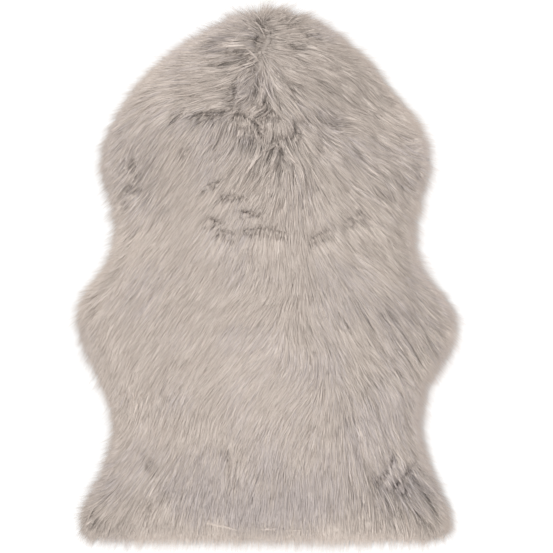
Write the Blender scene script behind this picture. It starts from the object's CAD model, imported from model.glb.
"""Sheepskin rug, laid flat: a soft hide, a dense undercoat and a long combed fleece of tapered strands."""

import bpy
import numpy as np
from bpy.props import FloatProperty, FloatVectorProperty, IntProperty, PointerProperty
from mathutils import Euler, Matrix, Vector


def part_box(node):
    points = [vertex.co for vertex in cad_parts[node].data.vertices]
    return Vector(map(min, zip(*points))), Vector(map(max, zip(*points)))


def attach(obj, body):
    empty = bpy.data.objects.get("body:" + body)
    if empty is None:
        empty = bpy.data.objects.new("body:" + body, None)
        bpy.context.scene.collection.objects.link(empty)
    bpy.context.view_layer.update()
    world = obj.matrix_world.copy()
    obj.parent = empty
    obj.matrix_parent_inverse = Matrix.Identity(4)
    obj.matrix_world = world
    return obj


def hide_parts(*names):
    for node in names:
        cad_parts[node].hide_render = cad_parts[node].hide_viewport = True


bl_info = {
    "name": "Sheepskin Rug",
    "version": (1, 0, 0),
    "blender": (4, 5, 0),
    "location": "3D View > Sidebar > Rug",
    "description": "Builds a pelt-shaped rug with a long combed fleece",
    "category": "Object",
}

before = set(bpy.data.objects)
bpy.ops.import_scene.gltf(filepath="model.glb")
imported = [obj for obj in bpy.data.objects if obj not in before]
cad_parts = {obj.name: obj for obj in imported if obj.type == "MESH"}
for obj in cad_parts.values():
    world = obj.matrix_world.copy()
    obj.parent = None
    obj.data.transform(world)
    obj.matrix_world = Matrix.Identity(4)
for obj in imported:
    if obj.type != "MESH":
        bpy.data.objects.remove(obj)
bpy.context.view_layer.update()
PELT_LOW, PELT_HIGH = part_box("pelt")

# Rim of the dense fleece, in metres: (name, y, left x, right x).
OUTLINE = (
    ("heel", -0.428, -0.292, 0.290),
    ("hind_foot", -0.406, -0.310, 0.298),
    ("hind_leg", -0.373, -0.301, 0.294),
    ("hip", -0.315, -0.271, 0.269),
    ("waist", -0.245, -0.253, 0.250),
    ("belly", -0.178, -0.272, 0.263),
    ("foreleg_low", -0.120, -0.299, 0.300),
    ("foreleg", -0.075, -0.311, 0.308),
    ("foreleg_top", -0.030, -0.304, 0.287),
    ("neck_end", 0.018, -0.267, 0.248),
    ("neck", 0.070, -0.250, 0.240),
    ("throat", 0.124, -0.258, 0.250),
    ("shoulder", 0.180, -0.273, 0.265),
    ("cheek", 0.246, -0.257, 0.246),
    ("temple", 0.319, -0.207, 0.193),
    ("brow", 0.368, -0.153, 0.148),
    ("forehead", 0.415, -0.076, 0.084),
    ("forehead_top", 0.4285, -0.042, 0.058),
)
CROWN_POINT = (0.001, 0.4370)
TAIL_POINTS = ((-0.150, -0.431), (0.000, -0.432), (0.150, -0.434))
SPLINE_STEPS = 8  # points between two outline points

# Lie of the pile, in degrees from tailwards, positive towards +X: a row for each station y, and a column
# for each share of the way from the parting line to the rim.
PARTING_LINE = (
    # y, x
    (0.270, -0.010),
    (0.300, -0.018),
    (0.335, -0.014),
    (0.350, -0.010),
    (0.368, -0.014),
    (0.379, -0.009),
    (0.390, -0.006),
    (0.403, -0.009),
    (0.416, -0.018),
    (0.428, -0.016),
)
LIE_SHARES = (-1.0, -0.70, -0.35, -0.05, 0.05, 0.15, 0.30, 0.45, 0.60, 1.0)
LIE = (
    # y; angles at the left rim, outer left, inner left, left of the parting, right of it, and so on
    (-0.440, -36, -26, -8, 0, 0, 0, 0, 0, 6, 14),
    (-0.390, -36, -24, -10, -4, -3, -2, 0, 2, 8, 26),
    (-0.330, -40, -34, -10, -18, -8, -2, 3, 4, 14, 27),
    (-0.270, -32, -30, -15, -18, -13, -22, -20, 0, 22, 24),
    (-0.230, -14, -21, -15, -28, -28, -24, -22, 0, 20, 18),
    (-0.200, -8, -12, -30, -30, -26, -38, -36, 8, 24, 24),
    (-0.170, -10, -20, -38, -40, -36, -36, -30, 28, 34, 28),
    (-0.100, -14, -34, -32, -38, -35, 16, 30, 28, 32, 40),
    (-0.030, -38, -37, -38, -35, -34, -22, 18, 22, 44, 43),
    (0.030, -37, -36, -29, -14, -6, 6, 18, 40, 47, 38),
    (0.120, -30, -36, -34, -30, -20, -8, 14, 42, 46, 40),
    (0.200, -30, -33, -38, -28, -20, 14, 42, 46, 54, 60),
    (0.245, -34, -40, -36, -10, 0, 16, 47, 58, 56, 58),
    (0.275, -38, -58, -78, -50, 10, 36, 57, 54, 60, 46),
    (0.300, -48, -80, -82, -24, 30, 42, 58, 53, 52, 40),
    (0.350, -62, -82, -80, -88, 50, 52, 66, 64, 62, 50),
    (0.390, -70, -74, -88, -102, 92, 82, 80, 74, 80, 60),
    (0.418, -76, -82, -96, -122, 112, 98, 92, 84, 76, 66),
    (0.438, -80, -90, -112, -152, 148, 124, 106, 92, 80, 70),
)

# Where it was combed another way by hand: (name, x, y, radius, angle). At the middle each weighs COMB_WEIGHT
# times as much as the table above.
COMB = (
    ("dome_left_low", -0.047, 0.420, 0.013, -112),
    ("dome_right_mid", 0.033, 0.426, 0.013, 98),
    ("dome_right_low", 0.047, 0.422, 0.012, 86),
    ("dome", -0.013, 0.431, 0.013, 180),
    ("dome_left", -0.030, 0.428, 0.012, -118),
    ("dome_right", 0.014, 0.430, 0.013, 104),
    ("brow_left_high", -0.046, 0.411, 0.016, -86),
    ("brow_left_far", -0.079, 0.406, 0.020, -84),
    ("brow_right_high", 0.032, 0.424, 0.016, 80),
    ("brow_right_far", 0.064, 0.411, 0.020, 72),
    ("crown_left_high", -0.037, 0.394, 0.016, -86),
    ("crown_right_high", 0.025, 0.403, 0.020, 88),
    ("crown_left", -0.050, 0.373, 0.023, -88),
    ("crown_right", 0.025, 0.375, 0.020, 88),
    ("temple_left_high", -0.086, 0.377, 0.013, -62),
    ("temple_right_high", 0.071, 0.381, 0.023, 79),
    ("whorl_left", -0.040, 0.347, 0.013, -64),
    ("whorl_left_far", -0.069, 0.341, 0.013, -74),
    ("whorl_right", 0.012, 0.349, 0.011, 52),
    ("fan_high", 0.038, 0.336, 0.020, 56),
    ("fan", 0.025, 0.316, 0.018, 44),
    ("fan_low", 0.035, 0.290, 0.018, 48),
    ("fan_out", 0.071, 0.329, 0.023, 68),
    ("fan_far", 0.110, 0.342, 0.023, 74),
    ("centre_high", -0.011, 0.326, 0.010, -4),
    ("centre_left", -0.019, 0.303, 0.010, -6),
    ("centre", -0.001, 0.306, 0.011, 16),
    ("centre_right", 0.014, 0.287, 0.013, 32),
    ("centre_low", 0.025, 0.267, 0.013, 42),
    ("tuft_high", -0.035, 0.323, 0.011, -20),
    ("tuft_low", -0.037, 0.290, 0.013, -56),
    ("side_left", -0.089, 0.313, 0.029, -86),
    ("side_left_low", -0.095, 0.282, 0.023, -80),
    ("lock_left", -0.011, 0.264, 0.010, -62),
    ("lobe_small", -0.040, 0.251, 0.010, -6),
    ("lobe_left", -0.011, 0.244, 0.010, -12),
    ("lobe", 0.009, 0.241, 0.013, 0),
    ("lobe_right", 0.032, 0.241, 0.011, 10),
    ("beside_lobe", 0.058, 0.244, 0.015, 48),
    ("right_low", 0.074, 0.274, 0.020, 52),
    ("right_mid", 0.107, 0.297, 0.023, 58),
    ("swirl", 0.107, 0.243, 0.015, 84),
    ("swirl_below", 0.094, 0.220, 0.011, 52),
    ("right_rim", 0.231, 0.222, 0.023, 68),
    ("right_shoulder", 0.182, 0.192, 0.026, 60),
    ("nape_under_left", -0.001, 0.202, 0.011, -30),
    ("nape_under_right", 0.035, 0.202, 0.013, 34),
    ("nape_far_left", -0.037, 0.212, 0.015, -14),
    ("ledge_under", -0.089, 0.244, 0.020, -14),
    ("ledge_far", -0.115, 0.244, 0.015, -44),
    ("shoulder_mid", -0.102, 0.205, 0.023, -32),
    ("thigh_step", 0.205, -0.322, 0.026, 38),
    ("thigh_streaks", 0.246, -0.366, 0.034, 36),
)
COMB_WEIGHT = 4.0

# Where the fleece parts: (name, x and y at one end, x and y at the other, width, depth, share of the strands
# that stop there, how dark the roots below it are).
PARTINGS = (
    ("lobe_top", 0.006, 0.269, 0.030, 0.254, 0.003, 0.002, 0.6, 0.4),
    ("lobe_foot_left", -0.019, 0.240, -0.007, 0.227, 0.004, 0.003, 0.8, 0.6),
    ("lobe_foot", -0.007, 0.227, 0.035, 0.225, 0.004, 0.003, 0.8, 0.5),
    ("lobe_foot_right", 0.035, 0.225, 0.043, 0.236, 0.004, 0.003, 0.7, 0.5),
    ("lobe_right", 0.043, 0.235, 0.042, 0.253, 0.005, 0.007, 0.9, 0.9),
    ("lobe_small_foot", -0.050, 0.243, -0.027, 0.240, 0.004, 0.002, 0.7, 0.4),
    ("nape_tuft", -0.045, 0.223, -0.025, 0.225, 0.005, 0.004, 0.6, 0.9),
    ("swirl_edge", 0.102, 0.244, 0.120, 0.251, 0.004, 0.004, 0.5, 0.5),
    ("crown_top", -0.018, 0.416, -0.009, 0.403, 0.0021, 0.008, 0.01, 1.0),
    ("crown_upper", -0.009, 0.403, -0.006, 0.390, 0.0021, 0.012, 0.01, 1.0),
    ("crown_gap", -0.006, 0.390, -0.009, 0.379, 0.0021, 0.012, 0.01, 1.0),
    ("crown_foot", -0.009, 0.379, -0.014, 0.368, 0.0022, 0.006, 0.01, 1.0),
    ("brow_left_line", -0.037, 0.417, -0.020, 0.411, 0.004, 0.005, 0.7, 0.8),
    ("brow_right_tuft", 0.030, 0.424, 0.032, 0.406, 0.006, 0.006, 0.8, 0.8),
    ("temple_upper", -0.099, 0.380, -0.074, 0.385, 0.006, 0.006, 0.7, 0.9),
    ("temple_lower", -0.105, 0.368, -0.076, 0.381, 0.006, 0.006, 0.7, 0.9),
    ("temple_line", -0.097, 0.363, -0.035, 0.367, 0.005, 0.005, 0.6, 0.8),
    ("temple_right_spot", 0.061, 0.393, 0.064, 0.385, 0.006, 0.006, 0.9, 0.9),
    ("crown_right_spot", 0.037, 0.377, 0.042, 0.368, 0.005, 0.006, 0.8, 0.9),
    ("whorl_ledge", -0.082, 0.342, -0.053, 0.349, 0.006, 0.012, 0.95, 1.0),
    ("whorl_ledge_in", -0.053, 0.349, -0.027, 0.357, 0.005, 0.006, 0.7, 0.9),
    ("whorl_right", -0.001, 0.357, 0.019, 0.346, 0.005, 0.006, 0.8, 0.9),
    ("centre_line", -0.015, 0.329, -0.020, 0.290, 0.005, 0.007, 0.9, 0.9),
    ("fan_line", 0.015, 0.321, 0.040, 0.302, 0.004, 0.005, 0.7, 0.8),
    ("fan_line_low", 0.030, 0.297, 0.053, 0.279, 0.004, 0.005, 0.7, 0.9),
    ("side_gap", -0.051, 0.310, -0.055, 0.277, 0.005, 0.003, 0.5, 0.5),
    ("side_spot", -0.058, 0.306, -0.048, 0.306, 0.004, 0.004, 0.7, 0.8),
    ("lock_under", -0.017, 0.259, 0.006, 0.269, 0.005, 0.006, 0.9, 0.9),
    ("lock_root", -0.004, 0.292, -0.011, 0.274, 0.005, 0.006, 0.8, 0.9),
    ("ledge_left", -0.118, 0.267, -0.092, 0.266, 0.007, 0.008, 0.95, 0.85),
    ("ledge_middle", -0.092, 0.266, -0.064, 0.267, 0.007, 0.009, 0.95, 1.0),
    ("ledge_spot", -0.099, 0.262, -0.084, 0.261, 0.006, 0.008, 0.9, 0.9),
    ("ledge_end", -0.151, 0.251, -0.134, 0.271, 0.006, 0.006, 0.8, 0.9),
    ("lobe_small_edge", -0.051, 0.266, -0.032, 0.261, 0.004, 0.004, 0.8, 0.8),
    ("lobe_small_side", -0.032, 0.261, -0.012, 0.241, 0.004, 0.006, 0.9, 0.9),
    ("nape_dart", 0.015, 0.225, 0.025, 0.189, 0.005, 0.011, 0.95, 1.0),
    ("nape_dart_left", 0.012, 0.212, -0.002, 0.192, 0.005, 0.009, 0.9, 1.0),
    ("nape_dart_low", 0.017, 0.186, 0.015, 0.174, 0.005, 0.009, 0.9, 1.0),
    ("beside_lobe", 0.048, 0.256, 0.073, 0.233, 0.005, 0.006, 0.7, 0.9),
    ("right_spot", 0.082, 0.222, 0.097, 0.210, 0.006, 0.007, 0.8, 0.9),
    ("shoulder_left", -0.227, 0.205, -0.213, 0.174, 0.006, 0.004, 0.6, 0.5),
    ("shoulder_left_spot", -0.219, 0.192, -0.213, 0.187, 0.006, 0.003, 0.6, 0.5),
    ("cheek_left", -0.231, 0.150, -0.193, 0.134, 0.006, 0.005, 0.6, 0.55),
    ("cheek_left_low", -0.237, 0.127, -0.226, 0.114, 0.006, 0.005, 0.6, 0.55),
    ("shoulder_spot", -0.138, 0.212, -0.128, 0.205, 0.006, 0.003, 0.5, 0.3),
    ("neck_ledge_left", -0.097, 0.150, -0.076, 0.155, 0.005, 0.001, 1.0, 0.2),
    ("neck_ledge", -0.073, 0.132, -0.037, 0.129, 0.004, 0.001, 0.9, 0.1),
    ("back_ledge_high", -0.050, 0.109, -0.011, 0.101, 0.004, 0.001, 0.9, 0.1),
    ("back_ledge_left", -0.095, 0.098, -0.076, 0.088, 0.004, 0.0005, 0.9, 0.05),
    ("back_ledge_left_low", -0.082, 0.077, -0.050, 0.070, 0.004, 0.001, 0.85, 0.05),
    ("back_ledge", -0.040, 0.075, -0.004, 0.080, 0.004, 0.001, 0.9, 0.05),
    ("back_ledge_right", -0.004, 0.080, 0.032, 0.070, 0.004, 0.001, 0.85, 0.05),
    ("back_diagonal", 0.064, 0.060, 0.097, 0.078, 0.004, 0.0007, 0.75, 0.0),
    ("back_diagonal_far", 0.117, 0.086, 0.151, 0.106, 0.004, 0.0003, 0.65, 0.0),
    ("neck_diagonal", 0.081, 0.212, 0.094, 0.202, 0.005, 0.005, 0.7, 0.55),
    ("cheek_right_line", 0.169, 0.179, 0.201, 0.156, 0.005, 0.005, 0.7, 0.55),
    ("cheek_right_spot", 0.188, 0.209, 0.211, 0.199, 0.006, 0.006, 0.8, 0.55),
    ("cheek_right_rim", 0.221, 0.230, 0.240, 0.223, 0.006, 0.005, 0.7, 0.55),
    ("cheek_right_mid", 0.143, 0.202, 0.159, 0.186, 0.005, 0.006, 0.8, 0.55),
    ("cheek_right_low", 0.211, 0.150, 0.227, 0.135, 0.005, 0.005, 0.7, 0.55),
    ("temple_right_line", 0.084, 0.316, 0.125, 0.287, 0.005, 0.005, 0.6, 0.55),
    ("temple_right_end", 0.178, 0.280, 0.214, 0.251, 0.005, 0.005, 0.6, 0.55),
    ("flank_high", 0.195, -0.057, 0.221, -0.091, 0.005, 0.006, 0.7, 0.55),
    ("flank_low", 0.221, -0.096, 0.252, -0.147, 0.006, 0.006, 0.7, 0.55),
    ("flank_line", 0.149, -0.051, 0.174, -0.093, 0.005, 0.005, 0.7, 0.55),
    ("flank_line_in", 0.113, -0.060, 0.133, -0.085, 0.004, 0.004, 0.6, 0.3),
    ("belly_line", 0.209, -0.153, 0.234, -0.176, 0.005, 0.006, 0.7, 0.55),
    ("belly_line_in", 0.177, -0.163, 0.188, -0.184, 0.004, 0.005, 0.6, 0.3),
    ("belly_left_spot", -0.232, -0.199, -0.221, -0.209, 0.006, 0.003, 0.5, 0.4),
    ("hip_line_left", -0.196, -0.289, -0.175, -0.319, 0.004, 0.002, 0.6, 0.2),
    ("loin_line_left", -0.074, -0.272, -0.059, -0.293, 0.004, 0.001, 0.4, 0.2),
    ("tail_seam_right", 0.138, -0.215, 0.144, -0.295, 0.004, 0.002, 0.3, 0.1),
    ("thigh_ledge_top", 0.174, -0.337, 0.203, -0.294, 0.005, 0.003, 0.85, 0.4),
    ("thigh_ledge_foot", 0.200, -0.347, 0.237, -0.307, 0.006, 0.005, 0.95, 0.6),
    ("thigh_line", 0.226, -0.346, 0.241, -0.369, 0.004, 0.006, 0.8, 0.9),
    ("thigh_line_in", 0.208, -0.341, 0.226, -0.364, 0.004, 0.005, 0.8, 0.9),
    ("thigh_line_far", 0.250, -0.350, 0.276, -0.388, 0.005, 0.007, 0.8, 0.9),
    ("thigh_line_rim", 0.256, -0.338, 0.274, -0.366, 0.004, 0.005, 0.8, 0.75),
    ("thigh_line_low", 0.239, -0.383, 0.257, -0.401, 0.004, 0.007, 0.8, 0.8),
    ("thigh_line_high", 0.236, -0.325, 0.252, -0.345, 0.004, 0.006, 0.8, 0.8),
    ("thigh_root", 0.165, -0.339, 0.182, -0.346, 0.005, 0.002, 0.4, 0.3),
    ("hip_dark_left", -0.167, -0.342, -0.148, -0.360, 0.005, 0.003, 0.4, 0.3),
    ("hip_dark_left_low", -0.200, -0.359, -0.187, -0.378, 0.005, 0.003, 0.4, 0.3),
    ("foot_left", -0.301, -0.407, -0.283, -0.381, 0.006, 0.009, 0.95, 0.9),
    ("foot_left_low", -0.291, -0.414, -0.278, -0.394, 0.005, 0.008, 0.9, 0.9),
    ("tail_curl_left", -0.110, -0.412, -0.058, -0.419, 0.004, 0.004, 0.01, 0.6),
    ("tail_curl", -0.022, -0.419, 0.016, -0.419, 0.004, 0.004, 0.01, 0.6),
    ("tail_curl_right", 0.016, -0.419, 0.055, -0.419, 0.004, 0.004, 0.01, 0.6),
)

# Locks that lie across the others: (name, x and y of the root, x and y of the tip, bow, strands, lift, tone).
WISPS = (
    ("dome_hair_left", -0.012, 0.417, -0.035, 0.437, -0.002, 8, 0.0018, 0.60),
    ("dome_hair_right", -0.011, 0.417, 0.007, 0.442, 0.003, 8, 0.0018, 0.62),
    ("crown_lock", -0.022, 0.414, -0.006, 0.388, 0.002, 11, 0.0021, 0.54),
    ("whorl_lock", -0.038, 0.372, -0.014, 0.347, 0.002, 12, 0.0024, 0.56),
    ("whorl_lock_under", -0.050, 0.341, -0.015, 0.350, -0.002, 11, 0.0021, 0.50),
    ("whorl_lock_low", -0.020, 0.350, -0.061, 0.329, 0.003, 9, 0.0018, 0.49),
    ("whorl_tuft", -0.037, 0.352, -0.059, 0.339, 0.002, 8, 0.0018, 0.49),
    ("centre_curl", -0.025, 0.333, -0.037, 0.331, -0.003, 8, 0.0018, 0.59),
    ("fan_lock", -0.004, 0.347, 0.038, 0.303, -0.005, 15, 0.0008, 0.51),
    ("fan_lock_in", -0.001, 0.339, 0.024, 0.297, -0.005, 13, 0.0008, 0.49),
    ("fan_lock_mid", 0.004, 0.313, 0.012, 0.280, -0.002, 11, 0.0008, 0.51),
    ("centre_lock", -0.001, 0.293, 0.022, 0.258, -0.002, 14, 0.0027, 0.56),
    ("cross_lock", 0.007, 0.271, -0.024, 0.253, 0.002, 14, 0.0027, 0.54),
    ("cross_lock_high", -0.006, 0.275, -0.033, 0.258, 0.002, 9, 0.0021, 0.49),
    ("temple_lock", 0.051, 0.300, 0.100, 0.280, -0.003, 13, 0.0008, 0.51),
    ("right_lock", 0.045, 0.271, 0.081, 0.235, -0.002, 13, 0.0008, 0.49),
    ("swirl_lock", 0.097, 0.240, 0.123, 0.233, -0.005, 11, 0.0018, 0.60),
    ("swirl_lock_in", 0.095, 0.251, 0.112, 0.241, -0.005, 9, 0.0018, 0.60),
    ("nape_hair_left", 0.017, 0.218, -0.017, 0.199, 0.003, 10, 0.0008, 0.53),
    ("nape_hair_right", 0.025, 0.218, 0.051, 0.179, -0.003, 11, 0.0008, 0.53),
    ("cheek_lock", 0.133, 0.153, 0.172, 0.121, -0.002, 13, 0.0008, 0.53),
    ("cheek_lock_low", 0.159, 0.137, 0.203, 0.104, -0.003, 13, 0.0008, 0.51),
    ("cheek_lock_rim", 0.208, 0.222, 0.253, 0.217, -0.003, 11, 0.0018, 0.57),
    ("shoulder_lock", -0.193, 0.241, -0.232, 0.189, -0.005, 13, 0.0018, 0.57),
    ("side_lock", -0.104, 0.326, -0.151, 0.300, 0.003, 13, 0.0008, 0.49),
    ("side_lock_high", -0.089, 0.293, -0.134, 0.287, 0.002, 13, 0.0008, 0.49),
    ("flank_lock", 0.188, -0.059, 0.247, -0.143, -0.003, 15, 0.0008, 0.53),
    ("thigh_lock", 0.203, -0.295, 0.219, -0.342, -0.002, 19, 0.0008, 0.58),
    ("thigh_lock_far", 0.195, -0.303, 0.209, -0.346, -0.002, 13, 0.0008, 0.54),
    ("thigh_lock_low", 0.221, -0.352, 0.253, -0.404, -0.003, 13, 0.0008, 0.51),
    ("tail_lock_left", -0.120, -0.400, -0.054, -0.414, 0.002, 30, 0.0024, 0.86),
    ("tail_lock_left_low", -0.114, -0.410, -0.062, -0.418, 0.002, 6, 0.0012, 0.80),
    ("tail_lock", -0.024, -0.413, 0.020, -0.413, 0.001, 16, 0.0020, 0.78),
    ("tail_lock_right", 0.010, -0.414, 0.056, -0.413, -0.001, 12, 0.0018, 0.78),
    ("tail_lock_low", -0.020, -0.417, 0.030, -0.417, 0.001, 4, 0.0010, 0.76),
    ("foot_lock", -0.275, -0.365, -0.297, -0.404, -0.003, 13, 0.0018, 0.59),
    ("hip_lock", -0.222, -0.277, -0.268, -0.342, -0.005, 15, 0.0018, 0.57),
    ("back_lock", -0.092, -0.078, -0.118, -0.117, -0.005, 11, 0.0012, 0.57),
    ("back_lock_far", -0.193, -0.039, -0.239, -0.111, -0.007, 13, 0.0012, 0.57),
    ("back_lock_mid", -0.151, -0.036, -0.170, -0.075, -0.003, 10, 0.0012, 0.57),
)
WISP_WIDTH = 0.0013

# Where the fleece is ruffled: (name, x, y, radius, strength). Elsewhere it lies smooth.
RUFFLES = (
    ("head", 0.000, 0.310, 0.130, 1.0),
    ("crown", 0.000, 0.388, 0.058, 0.9),
    ("nape", 0.010, 0.210, 0.080, 1.0),
    ("shoulder_left", -0.210, 0.160, 0.070, 0.7),
    ("head_right", 0.110, 0.290, 0.110, 0.9),
    ("cheek_right", 0.190, 0.180, 0.080, 0.9),
    ("neck_right", 0.150, 0.090, 0.070, 0.6),
    ("flank_right", 0.230, -0.100, 0.100, 0.8),
    ("loin_right", 0.180, -0.200, 0.090, 0.5),
    ("thigh_right", 0.220, -0.340, 0.090, 1.0),
    ("foot_left", -0.285, -0.385, 0.060, 1.0),
    ("back_left", -0.190, -0.030, 0.090, 0.30),
    ("loin_left", -0.190, -0.190, 0.080, 0.22),
    ("tail_left", -0.160, -0.330, 0.070, 0.30),
)
SMOOTH = 0.08  # ruffling of the smooth parts

# Where the hair is darker or paler than on the back, and cooler: (name, x, y, radius, change of tone, and
# change of the share of cool hair).
SHADES = (
    ("crown", 0.000, 0.400, 0.110, -0.25, 0.0),
    ("crown_right", 0.025, 0.380, 0.032, -0.10, 0.0),
    ("shoulder_left", -0.205, 0.165, 0.060, -0.10, 0.0),
    ("shoulder_right", 0.200, 0.160, 0.060, -0.07, 0.0),
    ("head_left", -0.130, 0.250, 0.110, -0.10, 0.0),
    ("head_right", 0.130, 0.270, 0.130, -0.29, 0.0),
    ("nape_under", -0.038, 0.212, 0.018, -0.10, 0.6),
    ("nape", 0.000, 0.190, 0.060, 0.06, 0.0),
    ("temple", -0.089, 0.375, 0.016, -0.22, 0.4),
    ("ledge_under", -0.086, 0.246, 0.022, -0.06, 0.4),
    ("neck_left", -0.080, 0.170, 0.060, -0.05, 0.1),
    ("back", -0.010, 0.070, 0.090, -0.12, 0.0),
    ("flank_right", 0.230, 0.020, 0.130, -0.23, 0.1),
    ("flank_dark", 0.222, -0.080, 0.058, -0.16, 0.6),
    ("back_dark", 0.060, -0.005, 0.028, -0.16, 0.0),
    ("back_dark_low", 0.055, -0.088, 0.026, -0.15, 0.0),
    ("loin_right", 0.170, -0.210, 0.110, -0.09, 0.1),
    ("thigh_right", 0.200, -0.370, 0.120, -0.20, 0.1),
    ("tail", -0.020, -0.370, 0.105, -0.12, 0.4),
    ("tail_cool_left", -0.100, -0.375, 0.050, -0.06, 0.4),
    ("tail_cool", -0.010, -0.375, 0.050, -0.06, 0.5),
    ("tail_cool_right", 0.080, -0.375, 0.050, -0.06, 0.4),
    ("tail_fringe_far_left", -0.200, -0.428, 0.026, 0.24, -0.6),
    ("tail_curl", -0.088, -0.408, 0.020, 0.20, -0.5),
    ("tail_fringe_left", -0.140, -0.428, 0.026, 0.22, -0.8),
    ("tail_fringe_mid_left", -0.080, -0.428, 0.026, 0.22, -0.9),
    ("tail_fringe", -0.020, -0.428, 0.026, 0.18, -0.9),
    ("tail_fringe_mid_right", 0.040, -0.428, 0.026, 0.18, -0.9),
    ("tail_fringe_right", 0.100, -0.428, 0.028, 0.48, -0.9),
    ("tail_fringe_far_right", 0.160, -0.428, 0.028, 0.44, -0.8),
    ("tail_fringe_end", 0.220, -0.428, 0.028, 0.38, -0.6),
    ("thigh_left", -0.235, -0.340, 0.080, -0.16, 0.0),
    ("foot_left", -0.284, -0.392, 0.034, -0.10, 0.0),
    ("thigh_step", 0.204, -0.316, 0.022, 0.22, 0.0),
    ("thigh_above", 0.182, -0.245, 0.042, 0.08, 0.1),
    ("thigh_dark", 0.240, -0.358, 0.038, -0.24, 0.7),
)

FLEECE_PIECES = ("fleece_tail", "fleece_loin", "fleece_back", "fleece_neck", "fleece_head")

CORNER_ROWS = ("heel", "temple")  # where the corners of the grids lie on the rim
HIDE_CELLS = (72, 100)
HIDE_WAVE = 0.0003  # the hide's underside rises and falls by this much
HIDE_WAVE_SIZE = 0.045
UNDERCOAT_CELLS = (100, 138)
UNDERCOAT_SHOULDER = 0.012  # distance over which the undercoat rises from its edge
UNDERCOAT_DEPTH = 0.0050  # from the top of the fleece down to the undercoat
PIECE_GAP = 0.0003
LOCK_BULGE = 0.0075  # how much lower the sides of a ruffled lock are than its middle
CLUMP_BULGE = 0.0038
UNDERCOAT_SHADES = (0.90, 0.50)  # how bright the undercoat is, least dark and darkest, where the tips are 1
ROOT_MARGIN = 0.004  # from the hide's edge in to the outermost roots
RIM_REACH = (-0.0055, 0.0285, 0.040)  # how far past the rim the tips reach: least, mean beyond it, most
RIM_THIN = (0.20, 0.035)  # how thin the strands are there, and how much more where the rim faces -X or +X
RIM_TONE = (0.31, 0.50)  # how much paler the hair is at the rim, and how much more where the rim faces +X
RIM_BELT = (0.020, 0.016)  # a darker belt inside it: how far in, and half its width
BELT_TONE = (0.13, -0.11, 0.08)  # how much darker it is, and how much more where the rim faces +X, and +Y

SEEDS = {
    "swell": 3,
    "tuft": 11,
    "wander": 23,
    "patch": 31,
    "lock": 41,
    "clump": 43,
    "strand": 47,
    "groove": 53,
}

# Long grooves between the locks: (distance apart, reach along the lie, width, depth, darkening).
GROOVES = (
    (0.009, 0.050, 0.10, 0.0022, 0.22),
    (0.0048, 0.034, 0.13, 0.0011, 0.14),
    (0.0034, 0.028, 0.14, 0.0006, 0.15),
)

SWELL = (0.003, 0.11)  # height of the slow swells, and how far apart they are
TUFTS = (0.016, 0.034)  # how far apart the tufts are, and their reach along the lie
WANDER = 7  # degrees that the lie wanders by, for each of WANDER_SIZES
WANDER_SIZES = (0.060, 0.024)
SPLIT_REACH = 0.006  # how far each side the lie is compared to find where it is combed apart
SPLIT_RANGE = (12, 50)  # spread of the lie per metre where a split begins, and how much more makes it whole
PARTING_STRETCH = 1.25  # how much longer a parting is than the way between its two ends
PARTING_FADE = 0.004  # how much longer still before it has faded out
RIM_RAMP = 0.030  # distance over which swells, tufts and partings grow from the rim
RIM_FALL = 0.012  # how slowly the top falls past the rim
OUTWARD = (0.8, 0.040)  # how much the hair is turned out at the rim, and from how far inside
STRAY_SHARE = 0.06  # share of the strands that stray from their clump
TONE = (0.635, -0.03)  # tone of the hair where it is smooth, and how much it changes where it is ruffled
PATCHES = ((0.06, 0.09), (0.04, 0.035))  # slow changes of tone: how much, and how far apart
TONE_SPREAD = (0.084, 0.205)  # how much the strands differ in tone, and how much more where it is ruffled
ROOT_DEPTH = 0.007  # how far below the top of the fleece the roots start
TIP_RISE = 0.0035  # how far above it the tips end
ROLL = 32  # spread of the strands' roll, in degrees
TAPER = (0.8, 1.0, 0.72)  # width of a strand at its root and further up, before it runs out to its point
PLAN_STEP = 0.002  # spacing of the grid on which the plan's fields are worked out
PLAN_MARGIN = 0.05
STRAND_STEPS = 3  # stretches of a strand; the last one runs out to a point

FLOOR_REACH = 20.0  # how far the floor reaches each way
SKY_STRENGTH = 0.80
SUN_STRENGTH = 2.45
SUN_SPREAD = 28  # how wide the light is in the sky, in degrees
SUN_TURN = (-6, -30)  # degrees about X and Y that it is turned from straight above
CAMERA_PLACE = (0.0130, -0.0008, 2.524)
CAMERA_LENS, CAMERA_SENSOR = 100.0, 36.0  # in millimetres


def length_property(name, description, default, **limits):
    """A length that the user may set."""
    return FloatProperty(name=name, description=description, default=default, unit="LENGTH", **limits)


def colour_property(name, description, default):
    """A colour that the user may set."""
    return FloatVectorProperty(
        name=name, description=description, default=default, subtype="COLOR", min=0, max=1
    )


class RugSizes(bpy.types.PropertyGroup):
    """The sizes of the hide, the undercoat and the fleece."""

    pile_height: length_property("Pile height", "Top of the fleece over the back", 0.030, min=0.005)
    rim_height: length_property("Rim height", "Top of the fleece where it is still dense at the rim", 0.0075)
    shoulder_width: length_property(
        "Shoulder width", "Distance over which the fleece falls to its rim height", 0.060
    )
    tuft_height: length_property("Tuft height", "Relief of the combed tufts", 0.0055)
    hide_inset: length_property(
        "Hide inset", "How far the hide's edge lies inside the rim of the dense fleece", 0.012
    )
    hide_thickness: length_property("Hide thickness", "Thickness of the hide", 0.0025)
    strand_length: length_property("Strand length", "Usual length of a strand", 0.057)
    strand_width: length_property("Strand width", "Width of a strand at its middle", 0.0008)
    lock_spacing: length_property("Lock spacing", "Distance between two locks", 0.012)
    clump_spacing: length_property("Clump spacing", "Distance between two clumps of a lock", 0.0028)
    strands: IntProperty(
        name="Strands", description="Number of strands in the whole fleece", default=180000, min=1000
    )


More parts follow.
